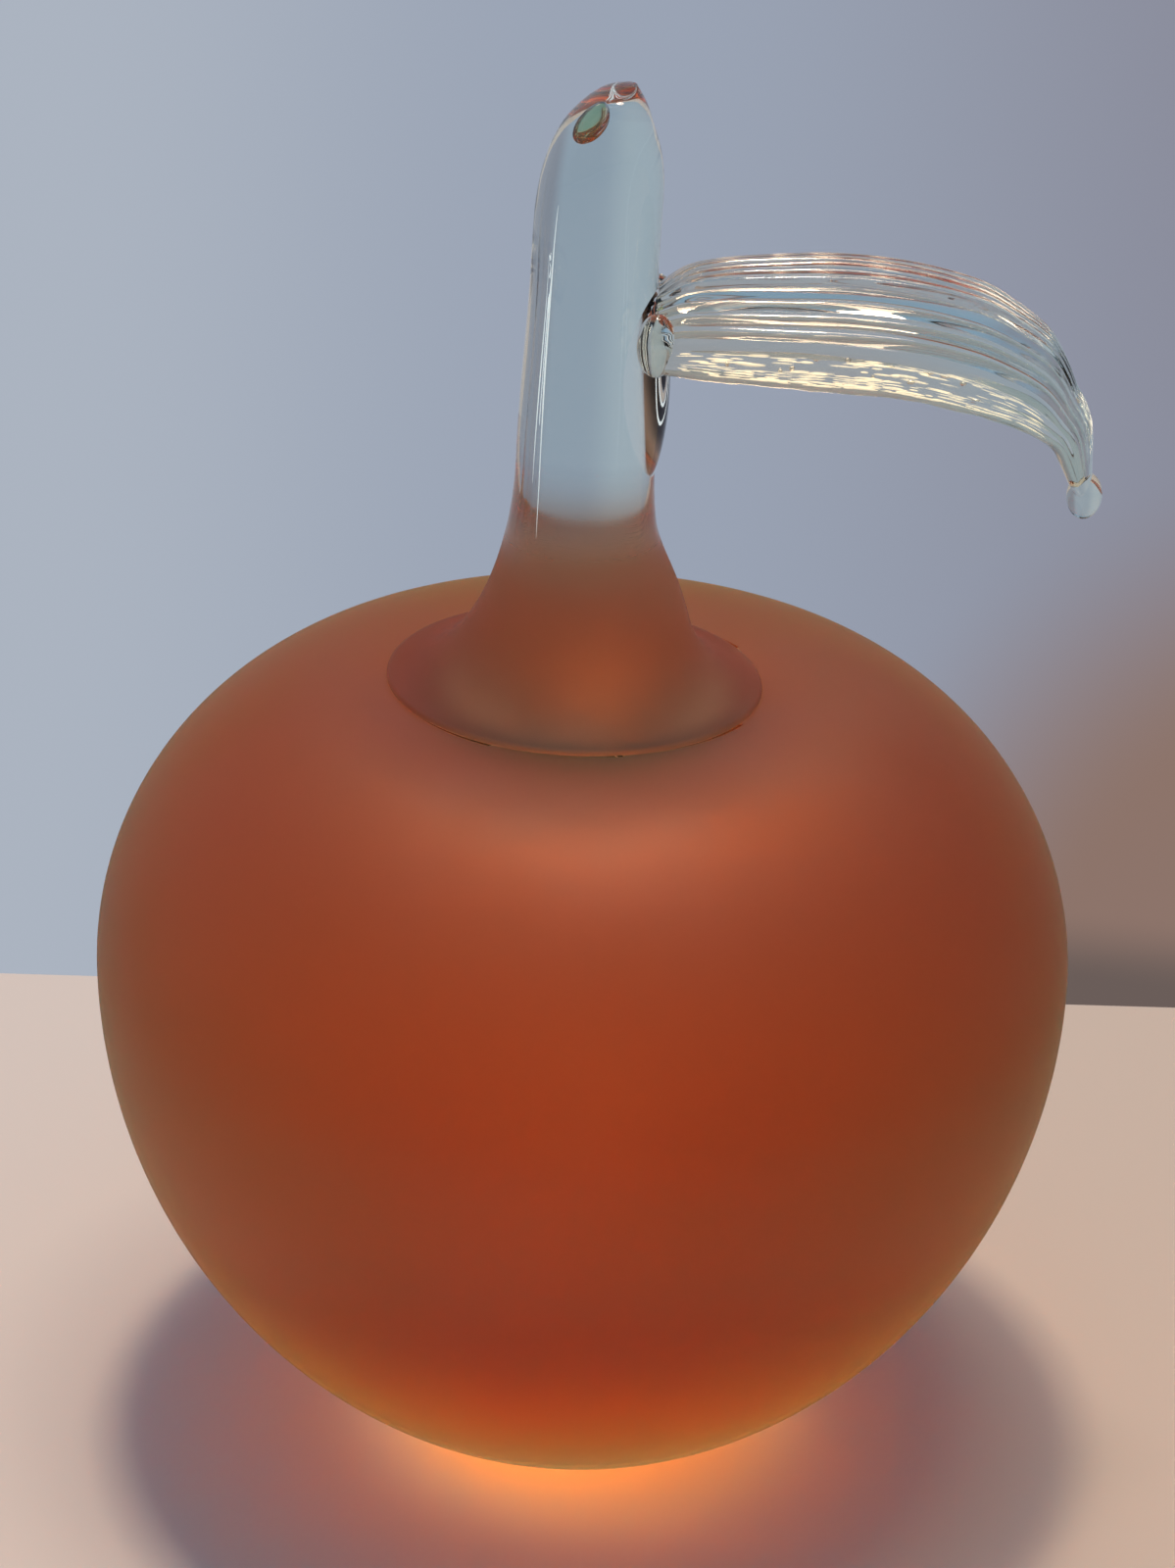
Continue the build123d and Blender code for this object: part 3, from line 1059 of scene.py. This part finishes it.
def arch_at(station):
    # The radius of the arch at a share of the length.
    return leaf_arch_radius * smooth_through(leaf_station_shares, leaf_radius_shares, station)


def round_line(middle, up, turn, radius):
    # A place round the centre line, by its turn from the top and its radius.
    return middle + Vector((0, radius * sin(turn), 0)) + up * radius * cos(turn)


print("leaf line", round(run[-1] / mm, 1), "mm long")

# %% [markdown]
# The outer face has a crest for every groove of the mould the leaf was pressed in. The
# crests rise and fall a little by a noise, fade out towards both ends, and are lower on
# the lips. The steps round a lip are used twice, once for each side.

# %% Leaf
outer_steps = 224
inner_steps = 120
lip_steps = 12
leaf_rings = 130
outer_streaks = 0.07 * mm
inner_streaks = 0.12 * mm
lip_wander = 0.35 * mm
wander_start = radians(50)
wander_span = radians(25)


def leaf_ring(station):
    # One closed ring of the leaf's section at a share of its length.
    middle, up = on_line(station)
    arch = arch_at(station)
    thinning = sqrt(arch / leaf_arch_radius)
    fade = min(1.0, station / 0.10) * min(1.0, max(0.0, (0.95 - station) / 0.20))
    ribs = rib_rise * thinning * fade
    valley = arch - rib_rise * thinning
    lip_wall = leaf_lip_wall * thinning
    wall = leaf_wall * thinning
    polar = []
    for i in range(outer_steps + 1):
        turn = -leaf_lip_angle + 2 * leaf_lip_angle * i / outer_steps
        rib_phase = (turn + rib_span_angle) / (2 * rib_span_angle) * rib_count
        crest = abs(sin(pi * rib_phase)) ** 0.8
        strength = 1.0 if abs(turn) < rib_span_angle else 0.35
        streak = noise.noise(Vector((station * 2.6, turn * 9.0, 1.3)))
        uneven = 1.0 + 0.5 * noise.noise(Vector((station * 1.7, turn * 5.0, 3.1)))
        polar.append((turn, valley + ribs * crest * strength * uneven + outer_streaks * fade * streak))
    lip = []
    for i in range(1, lip_steps):
        bend = pi * i / lip_steps
        radius = valley - lip_wall / 2 + lip_wall / 2 * cos(bend)
        lip.append((leaf_lip_angle + lip_bulge_share * lip_wall * sin(bend) / radius, radius))
    polar += lip
    for i in range(inner_steps + 1):
        turn = leaf_lip_angle - 2 * leaf_lip_angle * i / inner_steps
        share = (1 - cos(turn)) / (1 - cos(leaf_lip_angle))
        streak = noise.noise(Vector((station * 3.4, turn * 11.0, 7.7)))
        plain = valley - wall - (lip_wall - wall) * share
        polar.append((turn, plain + inner_streaks * fade * streak))
    polar += [(-turn, radius) for turn, radius in reversed(lip)]
    places = []
    for turn, radius in polar:
        side = 1 if turn > 0 else -1
        edge = max(0.0, (abs(turn) - wander_start) / wander_span)
        wander = noise.noise(Vector((station * 7.0, side * 3.0, 0.4)))
        radius -= edge * lip_wander * max(0.0, wander) * thinning
        turn -= side * edge * 0.03 * abs(noise.noise(Vector((station * 11.0, side * 2.0, 5.2))))
        places.append(round_line(middle, up, turn, radius))
    return places


def close_section(bm, ring):
    # Closes an end of the arch. The face is made from the ring's edges, because loose
    # vertices would be joined in another order, which leaves the end open.
    face = bmesh.ops.contextual_create(bm, geom=ring_edges(bm, ring))["faces"]
    bmesh.ops.triangulate(bm, faces=face, ngon_method="EAR_CLIP")


bm = bmesh.new()
ring = first_ring(bm, leaf_ring(0.0))
start_ring = ring
for step in range(1, leaf_rings + 1):
    ring = draw_on(bm, ring, leaf_ring(step / leaf_rings))
close_section(bm, start_ring)
close_section(bm, ring)
bmesh.ops.recalc_face_normals(bm, faces=bm.faces)
leaf = new_piece("ribbed_leaf", bm, leaf_glass)
print("leaf", leaf_rings, "sections,", len(leaf.data.polygons), "faces")

# %% [markdown]
# At the root the hot leaf was folded round onto the stem, in front and behind. The two
# rounded folds are joined on to the blade.

# %% Folds at the root
knob_radius = 1.9 * mm
knob_half_height = 3.1 * mm
knob_angle = radians(60.0)
knob_out = 0.625 * leaf_arch_radius
knob_x = root_x + 0.031 * leaf_reach


def egg(middle, radius, half_height, segments=48):
    # An upright ellipsoid.
    bm = bmesh.new()
    shape = Matrix.Translation(middle) @ Matrix.Diagonal((radius, radius, half_height, 1))
    bmesh.ops.create_uvsphere(bm, u_segments=segments, v_segments=segments // 2, radius=1.0, matrix=shape)
    bmesh.ops.recalc_face_normals(bm, faces=bm.faces)
    return bm


for side in (-1, 1):
    knob = Vector((knob_x, side * knob_out * sin(knob_angle), stem_middle.z + knob_out * cos(knob_angle)))
    combine(leaf, egg(knob, knob_radius, knob_half_height), "UNION")
print("leaf with folds", len(leaf.data.polygons), "faces")

# %% [markdown]
# Hot glass holds air. A bubble is a small surface inside the glass, turned inside out, so
# that a ray leaves the glass there. A streak is a thin closed thread that is drawn from
# rings as well. All the small things of a piece are built in one mesh and joined on once.

# %% Helpers for air in the glass
line_sides = 6


def in_lip(station, side, share):
    # A place inside a lip of the leaf, at a share of the way up from its edge.
    middle, up = on_line(station)
    turn = side * (leaf_lip_angle - radians(1 + 12 * share))
    radius = arch_at(station) - rib_rise - leaf_lip_wall * (0.35 + 0.25 * share)
    return round_line(middle, up, turn, radius)


def add_bubble(bm, middle, radii, segments, tilt=0.0, slot=0):
    # An air bubble inside the glass, which may be tilted.
    shape = Matrix.Translation(middle) @ Matrix.Rotation(tilt, 4, "Y") @ Matrix.Diagonal((*radii, 1))
    ball = bmesh.ops.create_uvsphere(
        bm, u_segments=segments, v_segments=segments // 2, radius=1.0, matrix=shape
    )
    faces = list({face for vert in ball["verts"] for face in vert.link_faces})
    bmesh.ops.recalc_face_normals(bm, faces=faces)
    bmesh.ops.reverse_faces(bm, faces=faces)
    for face in faces:
        face.material_index = slot


def add_white_line(bm, points, thickness, rings):
    # A thin white streak inside the glass, along a curve through three points.
    first, middle, last = points
    along = (last - first).normalized()
    side = along.orthogonal().normalized()
    other = along.cross(side)
    around = [2 * pi * i / line_sides for i in range(line_sides)]
    ring = None
    for step in range(rings + 1):
        t = step / rings
        place = first * (1 - t) * (1 - 2 * t) + middle * 4 * t * (1 - t) + last * t * (2 * t - 1)
        radius = thickness * (0.1 + 0.9 * sin(pi * t) ** 0.6)
        places = [place + side * radius * cos(a) + other * radius * sin(a) for a in around]
        ring = draw_on(bm, ring, places) if ring else first_ring(bm, places)
        if step == 0:
            bmesh.ops.contextual_create(bm, geom=ring)
    bmesh.ops.contextual_create(bm, geom=ring)


def add_to_piece(piece, bm):
    # Joins a mesh of small things to a piece.
    added = mesh_from(bm, "added")
    whole = bmesh.new()
    whole.from_mesh(piece.data)
    whole.from_mesh(added)
    whole.to_mesh(piece.data)
    whole.free()
    bpy.data.meshes.remove(added)


print("air helpers ready")

# %% [markdown]
# Small seeds, which are bubbles drawn long, sit in the thick lips. The front lip is full of
# finer ones that read as white streaks: partly seeds, partly a painted highlight for the
# bright light that the lip gathers. Two air lines, white as a painted highlight, run up the
# stem's left side, and a bigger bubble was caught at the stem's tip, where the shears
# pinched it.

# %% Seeds, air lines and the bubble at the tip
random.seed(7)
seed_slot = 1
bubble_slot = 2
leaf.data.materials.append(seed_highlight_white)
stem.data.materials.append(air_line_highlight_white)
stem.data.materials.append(tip_bubble_painted_green)
streaks_bm = bmesh.new()
# Fine white streaks in the front lip: seeds, and a painted highlight of the light the lip gathers
lip_highlight_streaks = 280
for step in range(lip_highlight_streaks):
    station = 0.06 + 0.72 * random.random() ** 0.7
    share = 1.3 * random.random() ** 1.7 - 0.3
    length = random.uniform(0.015, 0.060)
    spots = [in_lip(station + length * k, -1, share) for k in (0, 0.5, 1)]
    taper = min(1.0, (0.84 - station) / 0.3)
    add_white_line(streaks_bm, spots, taper * random.uniform(0.03, 0.10) * mm, 8)
for face in streaks_bm.faces:
    face.material_index = seed_slot
bmesh.ops.recalc_face_normals(streaks_bm, faces=streaks_bm.faces)
front_seeds = 15
for step in range(front_seeds):
    station = 0.16 + 0.5 * step / (front_seeds - 1) + random.uniform(-0.012, 0.012)
    thick = random.uniform(0.11, 0.24) * mm
    place = in_lip(station, -1, random.random())
    add_bubble(streaks_bm, place, (thick * random.uniform(1.2, 2.6), thick, thick), 16)
back_seeds = 6
for step in range(back_seeds):
    station = 0.2 + 0.45 * step / (back_seeds - 1) + random.uniform(-0.02, 0.02)
    thick = random.uniform(0.1, 0.2) * mm
    add_bubble(streaks_bm, in_lip(station, 1, random.random()), (thick * 2, thick, thick), 16)
add_to_piece(leaf, streaks_bm)

# The air lines of the stem, white as a painted highlight: how thick each is and three points on it, in mm
air_lines = (
    (0.085, ((-4.1, -3.9, 133.7), (-5.0, -4.1, 119.4), (-5.3, -4.2, 100.5))),
    (0.07, ((-4.6, -3.4, 129.0), (-5.3, -3.5, 117.0), (-5.8, -3.7, 106.0))),
)
streaks_bm = bmesh.new()
for thickness, points in air_lines:
    add_white_line(streaks_bm, [Vector(point) * mm for point in points], thickness * mm, 40)
for face in streaks_bm.faces:
    face.material_index = seed_slot
bmesh.ops.recalc_face_normals(streaks_bm, faces=streaks_bm.faces)
tip_bubble = Vector((-1.1, -2.2, 140.9)) * mm
add_bubble(streaks_bm, tip_bubble, (1.25 * mm, 0.8 * mm, 2.1 * mm), 40, tilt=radians(32), slot=bubble_slot)
add_to_piece(stem, streaks_bm)
print("seeds added,", len(leaf.data.polygons), "leaf faces")

# %% [markdown]
# The pad is a bit of glass down the stem's right side. The drop hangs from the tip.

# %% Pad and drop
pad_radius = 5.2 * mm
pad_half_height = 14.0 * mm
pad_angle = radians(-12.0)
pad_out = 2.6 * mm
pad_drop = 2.1 * mm
pad_middle = stem_middle + Vector((pad_out * cos(pad_angle), pad_out * sin(pad_angle), -pad_drop))
pad = new_piece("side_pad", egg(pad_middle, pad_radius, pad_half_height, 128), pad_glass)

bead_radius = 1.75 * mm
bead_half_height = 2.4 * mm
tip_place, tip_up = on_line(1.0)
tip_middle = tip_place + tip_up * (leaf_arch_radius * leaf_radius_shares[-1] / 2)
bead_middle = tip_middle - Vector((0, 0, 0.33 * bead_half_height))
drop = new_piece("tip_drop", egg(bead_middle, bead_radius, bead_half_height, 64), leaf_glass)
print("pad at", [round(v / mm, 1) for v in pad_middle], "drop at", [round(v / mm, 1) for v in bead_middle])

# %% [markdown]
# ## Marking the fused faces
#
# Where a face lies inside a neighbour there is no surface between two glasses. Each
# vertex gets its depth inside the neighbours, so the seam is drawn where the depth is 0.

# %% Fused marks of the stem, the pad, the leaf and the drop
trees = {}
for piece in (stem, pad, leaf, drop):
    solid = bmesh.new()
    solid.from_mesh(piece.data)
    trees[piece.name] = BVHTree.FromBMesh(solid)
    solid.free()

search_reach = 12 * mm
slack = 0.02 * mm


def depth_inside(name, place):
    # How deep a place lies inside a piece; negative outside. A place is inside when a
    # straight line from it crosses the surface an odd number of times.
    tree = trees[name]
    distance = tree.find_nearest(place)[3]
    if distance > search_reach:
        return -distance
    heading = Vector((0.31, -0.53, 0.79)).normalized()
    start = place
    crossings = 0
    while crossings < 40:
        spot = tree.ray_cast(start, heading)[0]
        if spot is None:
            break
        crossings += 1
        start = spot + heading * 0.002 * mm
    return distance if crossings % 2 else -distance


def deepest(names, place):
    # The greatest depth in any of the pieces.
    return max(depth_inside(name, place) for name in names)


def stem_depth(place):
    # The foot's underside and the plug's side are fused, and so is what a bit covers.
    local = stem_frame.inverted() @ place
    out = hypot(local.x, local.y)
    on_plug = out < plug_radius + slack and -hollow_roof - slack < local.z < -2 * mm
    seat = under_point(atan2(local.y, local.x), out)
    on_seat = out > plug_radius - slack and abs(place.z - seat.z) < hair
    if on_plug or on_seat:
        return 0.01 * mm
    if local.z < 0:
        return -mm
    return deepest((pad.name, leaf.name), place)


def ramp(value, low, high):
    # A smooth step from 0 to 1 between two values.
    t = min(1.0, max(0.0, (value - low) / (high - low)))
    return t * t * (3 - 2 * t)


def frost_at(place):
    # The lips are full of fine seeds and folds, which frosts them, most of all in front.
    reach = (place.x - root_x) / leaf_reach
    droop = smooth_through(leaf_reach_shares, leaf_droop_shares, min(1.0, max(0.0, reach)))
    drop_height = place.z - (stem_middle.z - droop * leaf_droop)
    turn = atan2(abs(place.y), drop_height)
    edge = ramp(turn, radians(52), radians(63))
    length = ramp(reach, 0.02, 0.22) * ramp(reach, 0.90, 0.72)
    return edge * length * (1.0 if place.y < 0 else 0.5)


finish_piece(stem, "stem", "POINT", stem_depth)
finish_piece(pad, "join_pad", "POINT", lambda p: deepest((stem.name, leaf.name), p))
finish_piece(
    leaf, "leaf_blade", "POINT", lambda p: deepest((stem.name, pad.name, drop.name), p)
)
frost_marks = leaf.data.attributes.new("frost", "FLOAT", "POINT")
frost_marks.data.foreach_set("value", [frost_at(v.co) for v in leaf.data.vertices])
finish_piece(drop, "tip_bead", "POINT", lambda p: deepest((leaf.name,), p))

# %% [markdown]
# ## Light through many layers
#
# A ray that goes through the apple meets a dozen glass faces, so the number of bounces is
# raised. Otherwise the rays would stop inside the glass and leave dark patches.

# %% Light paths
glass_bounces = 80
scene.cycles.max_bounces = glass_bounces
scene.cycles.transmission_bounces = glass_bounces
scene.cycles.transparent_max_bounces = 32
scene.view_settings.view_transform = "Standard"
print("bounces", scene.cycles.max_bounces)
